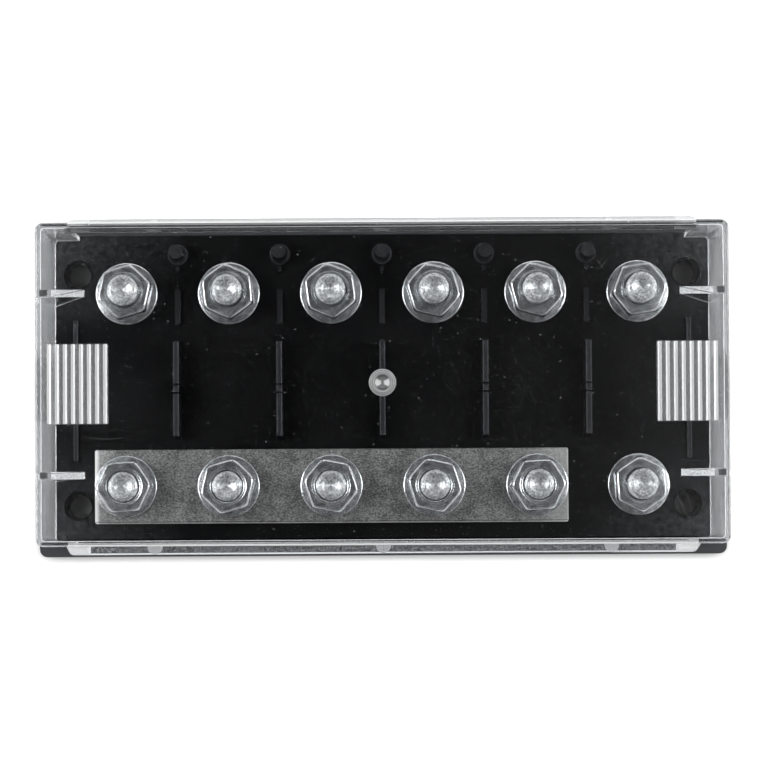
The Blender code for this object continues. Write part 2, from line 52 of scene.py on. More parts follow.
# The photograph: where the camera stood in metres, how many pixels a metre of the cover's plate
# takes, and the pixel straight below the camera
IMAGE_WIDTH, IMAGE_HEIGHT = 775, 768
PLATE_SCALE = 3980
FOOT_PIXEL = (383, 520)
CAMERA_OVER_PLATE = 0.580
CAMERA_Y = -0.0346
CAMERA_TILT = math.radians(1.2)
CAMERA_ROLL = math.radians(-0.33)
CAMERA_CLIP = (0.01, 10)
SENSOR_WIDTH = 36

# Boxes of the CAD solids, and sizes that the boxes don't tell
base_low, base_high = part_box("base")
cover_low, cover_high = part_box("cover")
stud_low, stud_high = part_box("stud_rear_1")
GRIP_HEIGHT = 0.9 * MM
LIP_REACH = 2.7 * MM
LONG_WALL_Y = (38.2 * MM, 41.0 * MM)
SIDE_SHIFT = 0.4 * MM
PLATE_TOP = cover_high.z - GRIP_HEIGHT
BODY_END = cover_high.x
WALL_SIDE = cover_high.y - LIP_REACH + SIDE_SHIFT
POLE_PITCH = 27 * MM
PEG_Y = 35.9 * MM

# How the copies of the CAD solids are cleaned and rounded
WELD_DISTANCE = 2e-6
FLAT_ANGLE = math.radians(0.5)
ROUNDED_ANGLE = math.radians(24)
EDGE_SEGMENTS = 3
BASE_EDGE = 0.22 * MM
BUSBAR_EDGE = 0.32 * MM
COVER_EDGE = 0.14 * MM

# Flange nuts: the angle of each in degrees, and sizes
NUT_ANGLES = {"front": (4, 16, 49, 48, 3, 34), "rear": (17, 36, 38, 47, 45, 9)}
HALF_FLATS = 6.5 * MM
CORNER_LIMIT = 7.36 * MM
NUT_HEIGHT = 8.0 * MM
FLANGE_RADIUS = 8.15 * MM
FLANGE_RIM = 1.1 * MM
FLANGE_SLOPE = 0.14
CHAMFER_RADIUS = 6.8 * MM
CHAMFER_SLOPE = 0.75
CREST_RADIUS = 6.4 * MM
CREST_INSET = 0.60 * MM
CREST_FLAT = 0.12 * MM
BORE_PLAY = 0.06 * MM
BORE_EDGE = 0.62 * MM
NUT_SAMPLES = 96
NUT_SHARP_ANGLE = 32

# The flange's outline in mm: its foot as inset and height, its shoulder as inset and depth below
# the rim, and the points of its slope, in from its edge and out from the hexagon
FLANGE_FOOT = ((0.2, 0), (0.05, 0.08), (0, 0.25))
FLANGE_SHOULDER = ((0, 0.18), (0.04, 0.05))
FLANGE_INSETS = (0.14, 0.30)
HEXAGON_OUTSETS = (0.16, 0.02)

# The hexagon's outline in mm: its foot as heights over the slope, its top edge as inset, depth and
# share of the chamfer's drop, and the stepped mouth of the bore as radius and depth
HEXAGON_FOOT = (0.02, 0.3)
HEXAGON_EDGE = ((0, 0.52, 1), (0.04, 0.37, 0.9), (0.10, 0.27, 0.75), (0.46, 0.04, 0.2))
MOUTH = ((5.15, 0), (5.05, 0), (4.98, 0.04), (4.60, 0.05), (4.42, 0.06), (4.32, 0.12), (4.20, 0.5))

# Studs: how far each is turned past the one before, in degrees, and sizes of the hex head, of the
# thread, of the end's rim as inset and depth in mm, and of the dish in the end
STUD_TURN = 37
STUD_RADIUS = 4.0 * MM
HEAD_HEIGHT = 5.3 * MM
HEAD_CHAMFER = 0.3 * MM
HEAD_CHAMFER_SLOPE = 0.4
HEAD_EDGE = 0.1 * MM
THREAD_PITCH = 1.25 * MM
THREAD_DEPTH = 0.62 * MM
THREAD_START = 13.2 * MM
THREAD_END_DROP = 0.12 * MM
THREAD_STEPS = 52
THREAD_RUN_IN = 3
THREAD_FLANK = 1.35
THREAD_CREST = 0.2
POINT_SLOPE = 1.15
END_FLAT_RADIUS = 3.25 * MM
END_RIM = ((0.14, 0), (0.38, 0.02), (0.48, 0.12))
END_DISH_RADIUS = 2.60 * MM
END_DISH = 0.48 * MM
END_DISH_DROP = 0.10 * MM
END_DISH_WALL_SHARE = 0.9
END_DISH_RING_SHARES = (1.0, 0.86, 0.70, 0.52, 0.32, 0.14)
STUD_SAMPLES = 48
STUD_SHARP_ANGLE = 50

# How softly a mask ends, and what dust and scratches look like
MASK_SOFTNESS = 0.05 * MM
SPECK_CORE_SHARE = 0.6
SCRATCH_EDGE = (0.09 * MM, 0.02 * MM)
SCRATCH_END_SOFTNESS = 0.6 * MM

# Specks: cell, share of the cells, radius, stretch and turn, and then how much they show
BASE_DUST = (
    ((1.5 * MM, 0.05, 0.20 * MM), 1.2),
    ((4.0 * MM, 0.14, 0.34 * MM, (1, 2.5, 1), 0.6), 1.0),
)
PLATE_DUST = (
    ((1.6 * MM, 0.05, 0.19 * MM), 0.09),
    ((5.0 * MM, 0.14, 0.30 * MM, (1, 1.5, 1), 0.8), 0.12),
)

# Fine scratches on the cover's plate: start X and Y, angle, length and bend, in mm and degrees
SCRATCHES = (
    (-73.6, -13.4, -12, 8.0, 0.024), (54.3, 30.6, -58, 2.6, 0.0), (57.0, 31.0, -128, 3.0, 0.0),
    (73.8, -28.6, -68, 6.0, 0.012),
)
SCRATCH_SHARE = 0.07

# Where the base's raised parts lie
INNER_FADE = (61 * MM, 60 * MM)
PEG_FOOT = (2.25 * MM, 2.75 * MM)
TOP_HEIGHTS = (14.1 * MM, 15.3 * MM)
DIVIDER_EDGE = (0.42 * MM, 0.80 * MM)
DIVIDER_FADE = (31 * MM, 30 * MM)
RIB_HEIGHTS = (8.5 * MM, 8.9 * MM)
END_RIB_FADE = (79 * MM, 80 * MM)
END_RIB_EDGE = (0.40 * MM, 0.62 * MM)
BASE_CORNER_X = (50 * MM, 84 * MM)
BASE_CORNER_Y = (14 * MM, 36 * MM)
ABOVE_PLATFORM = (7.2 * MM, 7.4 * MM)
PLATFORM_HEIGHTS = (7.3 * MM, 7.7 * MM)
LEDGE_FADE = (40.8 * MM, 41.0 * MM)
LEDGE_HEIGHTS = (1.0 * MM, 5.5 * MM)

# Where the cover's features lie, as distance from the middle in X and Y, and height
PLATE_Z = (PLATE_TOP - 0.2 * MM, PLATE_TOP + 0.2 * MM)
PLATE_CORNER_X = (50 * MM, 84 * MM)
PLATE_CORNER_Y = (12 * MM, 38 * MM)
GRIP_X = (BODY_END - 18.5 * MM, BODY_END - 2.9 * MM)
GRIP_Y = (0, 10.1 * MM)
GRIP_TOP_Z = (PLATE_TOP + 0.1 * MM, FAR)
GRIP_FOOT_Z = (PLATE_TOP - 0.3 * MM, PLATE_TOP + 0.1 * MM)
GUSSET_X = (75.2 * MM, 86.2 * MM)
GUSSET_ROOT_X = (84.3 * MM, 86.3 * MM)
GUSSET_Y = (22.2 * MM, 23.8 * MM)
GUSSET_Z = (9.5 * MM, 36.15 * MM)
BRACKET_X = (75.1 * MM, 79.8 * MM)
BRACKET_Z = (25.65 * MM, 35.6 * MM)
PAD_X = (0, 74.9 * MM)
PAD_Z = (25.75 * MM, 26.2 * MM)
LIP_X = (0, 80.9 * MM)
LIP_Y = (WALL_SIDE + 0.1 * MM, FAR)
LIP_OUTER_Y = (WALL_SIDE + 1.9 * MM, FAR)
LIP_Z = (23.9 * MM, 25.7 * MM)
SIDE_X = (0, 79.2 * MM)
SIDE_EDGE_Y = (WALL_SIDE - 0.42 * MM, WALL_SIDE + 0.1 * MM)
SIDE_EDGE_Z = (PLATE_TOP - 0.8 * MM, FAR)
SIDE_BAND_Y = (WALL_SIDE - 0.95 * MM, WALL_SIDE - 0.52 * MM)
SIDE_BAND_Z = (PLATE_TOP - 0.2 * MM, FAR)
SIDE_LINE_Y = (WALL_SIDE - 1.85 * MM, WALL_SIDE - 1.5 * MM)
REAR_LINE_X = (0, 80 * MM)
REAR_LINE_Y = (WALL_SIDE - 3.0 * MM, WALL_SIDE - 1.5 * MM)
CORNER_X = (79.2 * MM, 86.0 * MM)
CORNER_LINE_Y = (WALL_SIDE - 1.1 * MM, WALL_SIDE - 0.45 * MM)
RETURN_X = (79.9 * MM, 86.2 * MM)
RETURN_Y = (38.6 * MM, WALL_SIDE + 0.1 * MM)
RETURN_Z = (8.3 * MM, 35.8 * MM)
END_WALL_X = (BODY_END - 1.3 * MM, FAR)
END_WALL_Z = (8.3 * MM, 36.0 * MM)
END_LINE_X = (BODY_END - 0.75 * MM, BODY_END - 0.40 * MM)
END_LINE_Y = (0, 39.8 * MM)
FOOT_Z = (0, cover_low.z + 0.35 * MM)

# The moulding gate: radii, turned lines, and the slanted edges of its painted bow-tie highlight and its
# arc-shaped painted shade
GATE_LINE_PITCH = 0.45 * MM
GATE_RING = (1.95 * MM, 3.45 * MM)
GATE_DISH_FADE = (2.0 * MM, 1.9 * MM)
GATE_FADE = (PLATE_TOP - 0.7 * MM, PLATE_TOP - 0.5 * MM)
BOW_TIE = (0.4 * MM, 1.8 * MM)
BOW_TIE_SLANT = 0.45
BOW_TIE_FADE = (-0.36 * MM, -0.16 * MM)
GATE_ARC = (1.5 * MM, 2.0 * MM, 0.15 * MM)
GATE_ARC_FADE = (-0.3 * MM, 0.4 * MM)

# Metal: turned rings, the ends of the studs, and distances in from the edges of the busbar for its painted
# highlights and painted dark stripe
ZINC_RING_PITCH = 0.40 * MM
STUD_END_FADE = (18.8 * MM, 19.0 * MM)
BAR_LEFT_EDGE = (1.3 * MM, 0.5 * MM)
BAR_LEFT_HIGHLIGHT = 6 * MM
BAR_RIGHT_EDGE = (0.5 * MM, 0.3 * MM)
BAR_RIGHT_HIGHLIGHT = 14 * MM
BAR_FRONT_EDGE = (0.3 * MM, 0.2 * MM)
BAR_LINE = (0.34 * MM, 0.56 * MM)

# Colours
BLACK_DEEP, BLACK_CLOUD = (0.0007, 0.0008, 0.0010), (0.0015, 0.0016, 0.0019)
# BLACK_PALE is the lighter tone of dust, corner smears and the ledge, and of the painted sheen and
# highlights on the base
BLACK_PALE = (0.050, 0.051, 0.055)
# CLEAR_PAINTED_SHADE is painted shade: dark lines in the clear plastic and a painted shadow on its rear lip
CLEAR_TINT, CLEAR_PAINTED_SHADE = (0.945, 0.955, 0.96), (0.05, 0.05, 0.053)
CLEAR_SHADOW = (0.9, 0.91, 0.92)
ZINC_PLAIN = ((0.56, 0.575, 0.59), (0.72, 0.735, 0.75))
ZINC_MOTTLED = ((0.33, 0.34, 0.35), (0.88, 0.89, 0.90))
BAR_TONES = [(0.40, (0.075, 0.075, 0.073)), (0.50, (0.17, 0.169, 0.165)), (0.60, (0.34, 0.338, 0.33))]
# BAR_PAINTED_HIGHLIGHT is painted highlight at the busbar's ends and front edge, BAR_PAINTED_SHADE a
# painted dark stripe beside that edge
BAR_PAINTED_HIGHLIGHT, BAR_PAINTED_SHADE = (0.90, 0.89, 0.87), (0.02, 0.02, 0.02)
FLOOR_WHITE, FLOOR_SHADE = (0.95, 0.95, 0.95), (0.12, 0.12, 0.12)

# Studio: lamps by name, place, size and power, and the sky as (position, strength) stops
LAMPS = (
    ("left_softbox", (-0.72, 0.05, 0.72), (0.30, 0.55), 4.1),
    ("right_softbox", (0.72, 0.05, 0.72), (0.30, 0.55), 4.1),
    ("back_softbox", (0.0, 0.85, 0.75), (0.8, 0.3), 2.0),
)
SKY_CEILING = [(0.50, 1.0), (0.84, 0.7), (0.94, 0.22), (0.985, 0.03)]
SKY_SIDES, SKY_SIDES_SHARE = [(0.22, 0.0), (0.60, 1.0)], 0.75
SKY_BACK, SKY_BACK_SHARE = [(0.10, 0.0), (0.60, 1.0)], 0.35
SKY_RIGHT, SKY_RIGHT_SHARE = (0.0, 0.14), 0.11
SKY_BASE_SHARE = 0.10

# Floor, and the shade that the object keeps under itself
FLOOR_SIZE = 4
FLOOR_GLOW = 0.52
SHADE_REAR = (base_high.y - 0.5 * MM, base_high.y + 2.4 * MM)
SHADE_FRONT = (base_low.y - 3 * MM, base_low.y + 3 * MM)
SHADE_SOFTNESS = 3 * MM


# Meshes
def link(name, mesh):
    piece = bpy.data.objects.new(name, mesh)
    bpy.context.scene.collection.objects.link(piece)
    return piece


def set_sides_out(shape):
    """Move the cover's two long sides out to where the photograph shows them."""
    low, high = LONG_WALL_Y
    for vert in shape.verts:
        if low < abs(vert.co.y) < high:
            vert.co.y += math.copysign(SIDE_SHIFT, vert.co.y)


def clean_copy(node, name, edge, adjust=None):
    """Copy a CAD node's mesh, weld and flatten it, and round its sharp edges a little."""
    shape = bmesh.new()
    shape.from_mesh(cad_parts[node].data)
    bmesh.ops.remove_doubles(shape, verts=shape.verts, dist=WELD_DISTANCE)
    bmesh.ops.dissolve_limit(shape, angle_limit=FLAT_ANGLE, verts=shape.verts, edges=shape.edges)
    if adjust:
        adjust(shape)
    mesh = bpy.data.meshes.new(name)
    shape.to_mesh(mesh)
    shape.free()
    mesh.materials.clear()
    mesh.shade_smooth()
    piece = link(name, mesh)
    bevel = piece.modifiers.new("soft_edges", "BEVEL")
    bevel.width = edge
    bevel.segments = EDGE_SEGMENTS
    bevel.limit_method = "ANGLE"
    bevel.angle_limit = ROUNDED_ANGLE
    normals = piece.modifiers.new("flat_faces", "WEIGHTED_NORMAL")
    normals.weight = 100
    normals.keep_sharp = False
    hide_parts(node)
    return piece


def lathe(name, profile, samples, sharp_angle):
    """Turn a profile about Z where each ring's radius may depend on the angle.

    profile(angle) gives the same number of (radius, height) points for every angle. A radius
    of zero at either end closes the shape in one point.
    """
    columns = []
    shape = bmesh.new()
    poles = {}
    for step in range(samples):
        angle = FULL_TURN * step / samples
        column = []
        for index, (radius, height) in enumerate(profile(angle)):
            if radius == 0:
                if index not in poles:
                    poles[index] = shape.verts.new((0, 0, height))
                column.append(poles[index])
            else:
                column.append(shape.verts.new((radius * math.cos(angle), radius * math.sin(angle), height)))
        columns.append(column)
    for step, column in enumerate(columns):
        following = columns[(step + 1) % samples]
        for index in range(len(column) - 1):
            corners = (column[index], following[index], following[index + 1], column[index + 1])
            shape.faces.new(list(dict.fromkeys(corners)))
    bmesh.ops.recalc_face_normals(shape, faces=shape.faces)
    mesh = bpy.data.meshes.new(name)
    shape.to_mesh(mesh)
    shape.free()
    mesh.shade_smooth()
    mesh.set_sharp_from_angle(angle=math.radians(sharp_angle))
    return mesh


def hexagon_radius(angle):
    """Distance from the axis to a hexagon with rounded corners, one of them on +X."""
    off = (angle + math.pi / 6) % (math.pi / 3) - math.pi / 6
    flat = abs(off) - math.pi / 6
    return min(HALF_FLATS / math.cos(flat), CORNER_LIMIT)


def flange_height(radius):
    """Height of the flange's sloping top at a radius."""
    return FLANGE_RIM + (FLANGE_RADIUS - radius) * FLANGE_SLOPE


def nut_profile(angle):
    """Sloping flange, hexagon with a chamfered top edge, and a stepped mouth to the bore."""
    hexagon = hexagon_radius(angle)
    drop = max(0.0, hexagon - CHAMFER_RADIUS) * CHAMFER_SLOPE
    crest = min(hexagon - CREST_INSET, CREST_RADIUS)
    bore = STUD_RADIUS + BORE_PLAY
    top = NUT_HEIGHT
    slope = [FLANGE_RADIUS - inset * MM for inset in FLANGE_INSETS]
    slope += [hexagon + outset * MM for outset in HEXAGON_OUTSETS]
    return [
        (bore, 0),
        *[(FLANGE_RADIUS - inset * MM, height * MM) for inset, height in FLANGE_FOOT],
        *[(FLANGE_RADIUS - inset * MM, FLANGE_RIM - depth * MM) for inset, depth in FLANGE_SHOULDER],
        *[(radius, flange_height(radius)) for radius in slope],
        *[(hexagon, flange_height(hexagon) + rise * MM) for rise in HEXAGON_FOOT],
        *[(hexagon - inset * MM, top - depth * MM - drop * share) for inset, depth, share in HEXAGON_EDGE],
        (crest, top), (crest - CREST_FLAT, top),
        *[(radius * MM, top - depth * MM) for radius, depth in MOUTH],
        (bore, top - BORE_EDGE), (bore, 0),
    ]


def stud_profile(angle):
    """Hex head, shank, rolled thread with a chamfered start and a shallow dish in its end."""
    bottom, top = stud_low.z, stud_high.z
    head = HEAD_HEIGHT + bottom
    hexagon = hexagon_radius(angle)
    crest = min(hexagon - HEAD_CHAMFER, HALF_FLATS)
    points = [
        (0, bottom), (crest, bottom),
        (hexagon, bottom + HEAD_CHAMFER + (hexagon - crest) * HEAD_CHAMFER_SLOPE),
        (hexagon, head - HEAD_EDGE), (hexagon - HEAD_EDGE, head), (STUD_RADIUS, head),
        (STUD_RADIUS, THREAD_START),
    ]
    for step in range(1, THREAD_STEPS + 1):
        height = THREAD_START + (top - THREAD_END_DROP - THREAD_START) * step / THREAD_STEPS
        turns = (height / THREAD_PITCH - angle / FULL_TURN) % 1
        groove = min(max(abs(2 * turns - 1) * THREAD_FLANK - THREAD_CREST, 0), 1)
        radius = STUD_RADIUS - THREAD_DEPTH * groove * min(1, step / THREAD_RUN_IN)
        limit = END_FLAT_RADIUS + (top - height) * POINT_SLOPE
        points.append((min(radius, limit), height))
    points += [(END_FLAT_RADIUS - inset * MM, top - depth * MM) for inset, depth in END_RIM]
    dish = top - END_DISH_DROP
    for share in END_DISH_RING_SHARES:
        depth = END_DISH * (1 - share ** 2) * END_DISH_WALL_SHARE
        points.append((END_DISH_RADIUS * share, dish - depth))
    points.append((0, dish - END_DISH))
    return points


# Node helpers
def new_material(name):
    """A node material with one Principled shader, its node tree and that shader."""
    material = bpy.data.materials.new(name)
    material.use_nodes = True
    tree = material.node_tree
    tree.nodes.clear()
    output = tree.nodes.new("ShaderNodeOutputMaterial")
    shader = tree.nodes.new("ShaderNodeBsdfPrincipled")
    tree.links.new(shader.outputs["BSDF"], output.inputs["Surface"])
    return material, tree, shader


def object_place(tree, scale=(1, 1, 1), turn=0.0):
    """Object coordinates, turned about Z and stretched along chosen axes."""
    place = tree.nodes.new("ShaderNodeTexCoord")
    mapping = tree.nodes.new("ShaderNodeMapping")
    mapping.inputs["Rotation"].default_value = (0, 0, turn)
    mapping.inputs["Scale"].default_value = scale
    tree.links.new(place.outputs["Object"], mapping.inputs["Vector"])
    return mapping.outputs["Vector"]


def noise(tree, place, scale, detail=4, roughness=0.6):
    node = tree.nodes.new("ShaderNodeTexNoise")
    node.inputs["Scale"].default_value = scale
    node.inputs["Detail"].default_value = detail
    node.inputs["Roughness"].default_value = roughness
    tree.links.new(place, node.inputs["Vector"])
    return node.outputs["Fac"]


def ramp(tree, value, stops):
    """Colour ramp from (position, colour or grey) stops."""
    node = tree.nodes.new("ShaderNodeValToRGB")
    elements = node.color_ramp.elements
    while len(elements) < len(stops):
        elements.new(0.5)
    for element, (position, colour) in zip(elements, stops):
        element.position = position
        element.color = (*colour, 1) if isinstance(colour, tuple) else (colour, colour, colour, 1)
    tree.links.new(value, node.inputs["Fac"])
    return node.outputs["Color"]


def math_node(tree, operation, first, second=0.0, clamp=False):
    node = tree.nodes.new("ShaderNodeMath")
    node.operation = operation
    node.use_clamp = clamp
    for socket, value in zip(node.inputs, (first, second)):
        if isinstance(value, (int, float)):
            socket.default_value = value
        else:
            tree.links.new(value, socket)
    return node.outputs["Value"]


def minus(tree, first, second, clamp=False):
    return math_node(tree, "SUBTRACT", first, second, clamp)


def plus(tree, *values):
    result = values[0]
    for value in values[1:]:
        result = math_node(tree, "ADD", result, value)
    return result


def times(tree, *values):
    result = values[0]
    for value in values[1:]:
        result = math_node(tree, "MULTIPLY", result, value)
    return result


def weighted(tree, *pairs):
    """Sum of (value, weight) pairs."""
    return plus(tree, *[times(tree, value, weight) for value, weight in pairs])


def distance(tree, first, second):
    """Length of a flat vector."""
    return math_node(tree, "SQRT", plus(tree, times(tree, first, first), times(tree, second, second)))


def turned_lines(tree, radius, pitch):
    """Fine rings around the axis, from -1 to 1."""
    return math_node(tree, "SINE", times(tree, radius, FULL_TURN / pitch))


def bump(tree, shader, height, strength, depth):
    node = tree.nodes.new("ShaderNodeBump")
    node.inputs["Strength"].default_value = strength
    node.inputs["Distance"].default_value = depth
    tree.links.new(height, node.inputs["Height"])
    tree.links.new(node.outputs["Normal"], shader.inputs["Normal"])


def mix_colour(tree, factor, first, second):
    node = tree.nodes.new("ShaderNodeMix")
    node.data_type = "RGBA"
    tree.links.new(factor, node.inputs[0])
    for socket, value in zip((node.inputs[6], node.inputs[7]), (first, second)):
        if isinstance(value, tuple):
            socket.default_value = (*value, 1)
        else:
            tree.links.new(value, socket)
    return node.outputs[2]


def fade(tree, value, start, end):
    """0 up to the start and 1 past the end."""
    node = tree.nodes.new("ShaderNodeMapRange")
    node.inputs["From Min"].default_value = start
    node.inputs["From Max"].default_value = end
    tree.links.new(value, node.inputs["Value"])
    return node.outputs["Result"]


def between(tree, value, low, high, soft=MASK_SOFTNESS):
    """1 where a value lies between two limits, falling off over a short distance."""
    rising = fade(tree, value, low - soft, low + soft)
    return times(tree, rising, fade(tree, value, high + soft, high - soft))


def box_mask(tree, axes, limits):
    """Product of between() over the axes that have limits."""
    masks = [between(tree, axis, *limit) for axis, limit in zip(axes, limits) if limit]
    return times(tree, *masks)


def signed_place(tree):
    """Object coordinates as X, Y and Z."""
    place = tree.nodes.new("ShaderNodeTexCoord")
    split = tree.nodes.new("ShaderNodeSeparateXYZ")
    tree.links.new(place.outputs["Object"], split.inputs["Vector"])
    return [split.outputs[name] for name in "XYZ"]


def folded_place(tree):
    """Object coordinates as absolute X, absolute Y and Z."""
    x, y, z = signed_place(tree)
    return math_node(tree, "ABSOLUTE", x), math_node(tree, "ABSOLUTE", y), z


def specks(tree, cell, share, radius, stretch=(1, 1, 1), turn=0.0):
    """Small dust specks in a random share of the cells of a flat grid."""
    node = tree.nodes.new("ShaderNodeTexVoronoi")
    node.voronoi_dimensions = "2D"
    node.inputs["Scale"].default_value = 1 / cell
    tree.links.new(object_place(tree, stretch, turn), node.inputs["Vector"])
    chance = tree.nodes.new("ShaderNodeSeparateColor")
    tree.links.new(node.outputs["Color"], chance.inputs["Color"])
    chosen = math_node(tree, "LESS_THAN", chance.outputs["Red"], share)
    edge = radius / cell
    return times(tree, fade(tree, node.outputs["Distance"], edge, edge * SPECK_CORE_SHARE), chosen)


def dusting(tree, kinds):
    """All kinds of specks of a surface."""
    return weighted(tree, *[(specks(tree, *kind), shown) for kind, shown in kinds])


def scratch(tree, x, y, angle, length, bend):
    """One fine scratch in a gentle arc from its start along an angle, in mm and degrees."""
    place = tree.nodes.new("ShaderNodeTexCoord")
    mapping = tree.nodes.new("ShaderNodeMapping")
    mapping.vector_type = "TEXTURE"
    mapping.inputs["Location"].default_value = (x * MM, y * MM, 0)
    mapping.inputs["Rotation"].default_value = (0, 0, math.radians(angle))
    tree.links.new(place.outputs["Object"], mapping.inputs["Vector"])
    split = tree.nodes.new("ShaderNodeSeparateXYZ")
    tree.links.new(mapping.outputs["Vector"], split.inputs["Vector"])
    along, across = split.outputs["X"], split.outputs["Y"]
    arc = times(tree, along, along, bend / MM)
    off = math_node(tree, "ABSOLUTE", minus(tree, across, arc))
    return times(
        tree, fade(tree, off, *SCRATCH_EDGE), between(tree, along, 0, length * MM, SCRATCH_END_SOFTNESS))


# Materials
def black_plastic():
    """Black moulded plastic with lighter dust specks and corner smears, painted sheen on its raised
    tops, painted highlights along divider and rib edges and around the peg foot, and a lighter
    ledge outside the cover that is partly dust and partly painted light.
    """
    material, tree, shader = new_material("black_moulded_plastic")
    place = object_place(tree)
    x, y, z = folded_place(tree)
    signed_y = signed_place(tree)[1]
    cloud = noise(tree, place, 90, detail=3)
    grain = noise(tree, place, 1400, detail=2)
    smears = ramp(tree, noise(tree, place, 700, roughness=0.7), [(0.36, 0.0), (0.68, 1.3)])

    inner = fade(tree, x, *INNER_FADE)
    to_divider = math_node(tree, "PINGPONG", x, POLE_PITCH / 2)
    peg_radius = distance(tree, to_divider, minus(tree, signed_y, PEG_Y))
    # painted highlight: a lighter ring around the foot of each peg
    peg_foot_highlights = times(tree, between(tree, peg_radius, *PEG_FOOT), inner)
    tops = between(tree, z, *TOP_HEIGHTS)
    # painted highlights: lighter stripes along the divider edges
    edges = times(
        tree, between(tree, to_divider, *DIVIDER_EDGE), tops, inner, fade(tree, y, *DIVIDER_FADE))
    rib_tops = between(tree, z, *RIB_HEIGHTS)
    # painted highlights along the end ribs' edges
    end_rib_highlights = times(
        tree, rib_tops, fade(tree, x, *END_RIB_FADE), between(tree, to_divider, *END_RIB_EDGE))
    corners = times(tree, fade(tree, x, *BASE_CORNER_X), fade(tree, y, *BASE_CORNER_Y))
    # painted sheen on raised tops and rib tops, painted highlights along edges and peg feet, and lighter
    # corner smears
    raised = weighted(
        tree, (tops, 0.32), (edges, 0.60), (rib_tops, 0.26), (end_rib_highlights, 0.8), (peg_foot_highlights, 0.75),
        (times(tree, corners, smears), 0.46))
    # the ledge outside the cover is painted lighter: partly dust, partly painted light
    ledge = times(tree, fade(tree, y, *LEDGE_FADE), between(tree, z, *LEDGE_HEIGHTS))
    # all that is painted lighter: painted sheen and highlights above the platform, dust specks on the
    # platform, and the ledge
    pale = plus(
        tree, times(tree, raised, fade(tree, z, *ABOVE_PLATFORM)),
        times(tree, dusting(tree, BASE_DUST), between(tree, z, *PLATFORM_HEIGHTS)),
        times(tree, ledge, ramp(tree, grain, [(0.3, 1.0), (0.7, 1.6)])))
    tone = mix_colour(tree, cloud, BLACK_DEEP, BLACK_CLOUD)
    colour = mix_colour(tree, math_node(tree, "MINIMUM", pale, 1.6), tone, BLACK_PALE)
    tree.links.new(colour, shader.inputs["Base Color"])
    rough = plus(tree, ramp(tree, cloud, [(0.3, 0.28), (0.75, 0.40)]), times(tree, ledge, 0.2))
    tree.links.new(rough, shader.inputs["Roughness"])
    shader.inputs["Specular IOR Level"].default_value = 0.19
    bump(tree, shader, grain, 0.12, 0.2 * MM)
    return material


def gate_frost(tree, x, y, z):
    """The moulding gate: a milky ring with turned lines around a dish with a painted bright bow-tie
    highlight and arc-shaped painted shade.
    """
    radius = distance(tree, x, y)
    lines = turned_lines(tree, radius, GATE_LINE_PITCH)
    ring = times(
        tree, between(tree, radius, *GATE_RING), plus(tree, times(tree, lines, 0.06), 0.275))
    # painted highlight: a bright bow tie across the dish, cut off by a slanted edge
    slant = minus(tree, times(tree, x, BOW_TIE_SLANT), y)
    painted_bow_tie = times(tree, fade(tree, slant, *BOW_TIE_FADE), between(tree, radius, *BOW_TIE))
    # painted shade: a darker arc on one side of the dish
    painted_shade_arcs = times(
        tree, between(tree, radius, *GATE_ARC), fade(tree, minus(tree, y, x), *GATE_ARC_FADE))
    dish = times(
        tree, fade(tree, radius, *GATE_DISH_FADE),
        plus(tree, 0.14, times(tree, painted_bow_tie, 0.42), times(tree, painted_shade_arcs, -0.10), times(tree, lines, 0.03)))
    return times(tree, plus(tree, ring, dish), fade(tree, z, *GATE_FADE))


def frosting(tree, axes):
    """How milky the clear plastic is at its ridges, ribs, pads, edges and the foot of its walls; on the
    gussets, along the top edge of the long walls and at the lip's outer edge the milkiness is painted
    highlight.
    """
    fine = noise(tree, object_place(tree), 1500, detail=3)
    streaks = noise(tree, object_place(tree, (0.12, 1, 1)), 2600, detail=2)
    bands = noise(tree, object_place(tree, (1, 0.2, 0.6)), 420, detail=3)
    masks = (
        ((GRIP_X, GRIP_Y, GRIP_TOP_Z), 0.54),
        ((GRIP_X, GRIP_Y, GRIP_FOOT_Z), 0.14),
        # painted highlight: milky gussets stand in for light carried along the clear webs
        ((GUSSET_X, GUSSET_Y, GUSSET_Z), ramp(tree, streaks, [(0.35, 0.28), (0.7, 0.50)])),
        ((BRACKET_X, LIP_Y, BRACKET_Z), 0.62),
        ((PAD_X, LIP_Y, PAD_Z), 0.32),
        ((LIP_X, LIP_Y, LIP_Z), ramp(tree, fine, [(0.42, 0.0), (0.7, 0.15)])),
        # painted highlight along the lip's outer edge
        ((LIP_X, LIP_OUTER_Y, LIP_Z), 0.50),
        # painted highlights: a near-white stripe on the top edge of each long wall and a fainter band
        # inside it
        ((SIDE_X, SIDE_EDGE_Y, SIDE_EDGE_Z), 0.92),
        ((SIDE_X, SIDE_BAND_Y, SIDE_BAND_Z), 0.25),
        ((RETURN_X, RETURN_Y, RETURN_Z), ramp(tree, fine, [(0.38, 0.02), (0.68, 0.20)])),
        ((None, None, FOOT_Z), 0.26),
        ((END_WALL_X, None, END_WALL_Z), ramp(tree, bands, [(0.35, 0.06), (0.68, 0.14)])),
    )
    return [times(tree, box_mask(tree, axes, limits), share) for limits, share in masks]


def plate_wear(tree, x, y, z):
    """Dust, scratches and a haze near the corners, all on the cover's plate."""
    dust = dusting(tree, PLATE_DUST)
    lines = times(tree, plus(tree, *[scratch(tree, *place) for place in SCRATCHES]), SCRATCH_SHARE)
    corners = times(tree, fade(tree, x, *PLATE_CORNER_X), fade(tree, y, *PLATE_CORNER_Y))
    patches = noise(tree, object_place(tree, (1.6, 1, 1)), 620, roughness=0.7)
    smears = ramp(tree, patches, [(0.38, 0.1), (0.66, 2.0)])
    haze = times(tree, corners, smears, 0.016)
    return times(tree, between(tree, z, *PLATE_Z), plus(tree, dust, lines, haze))


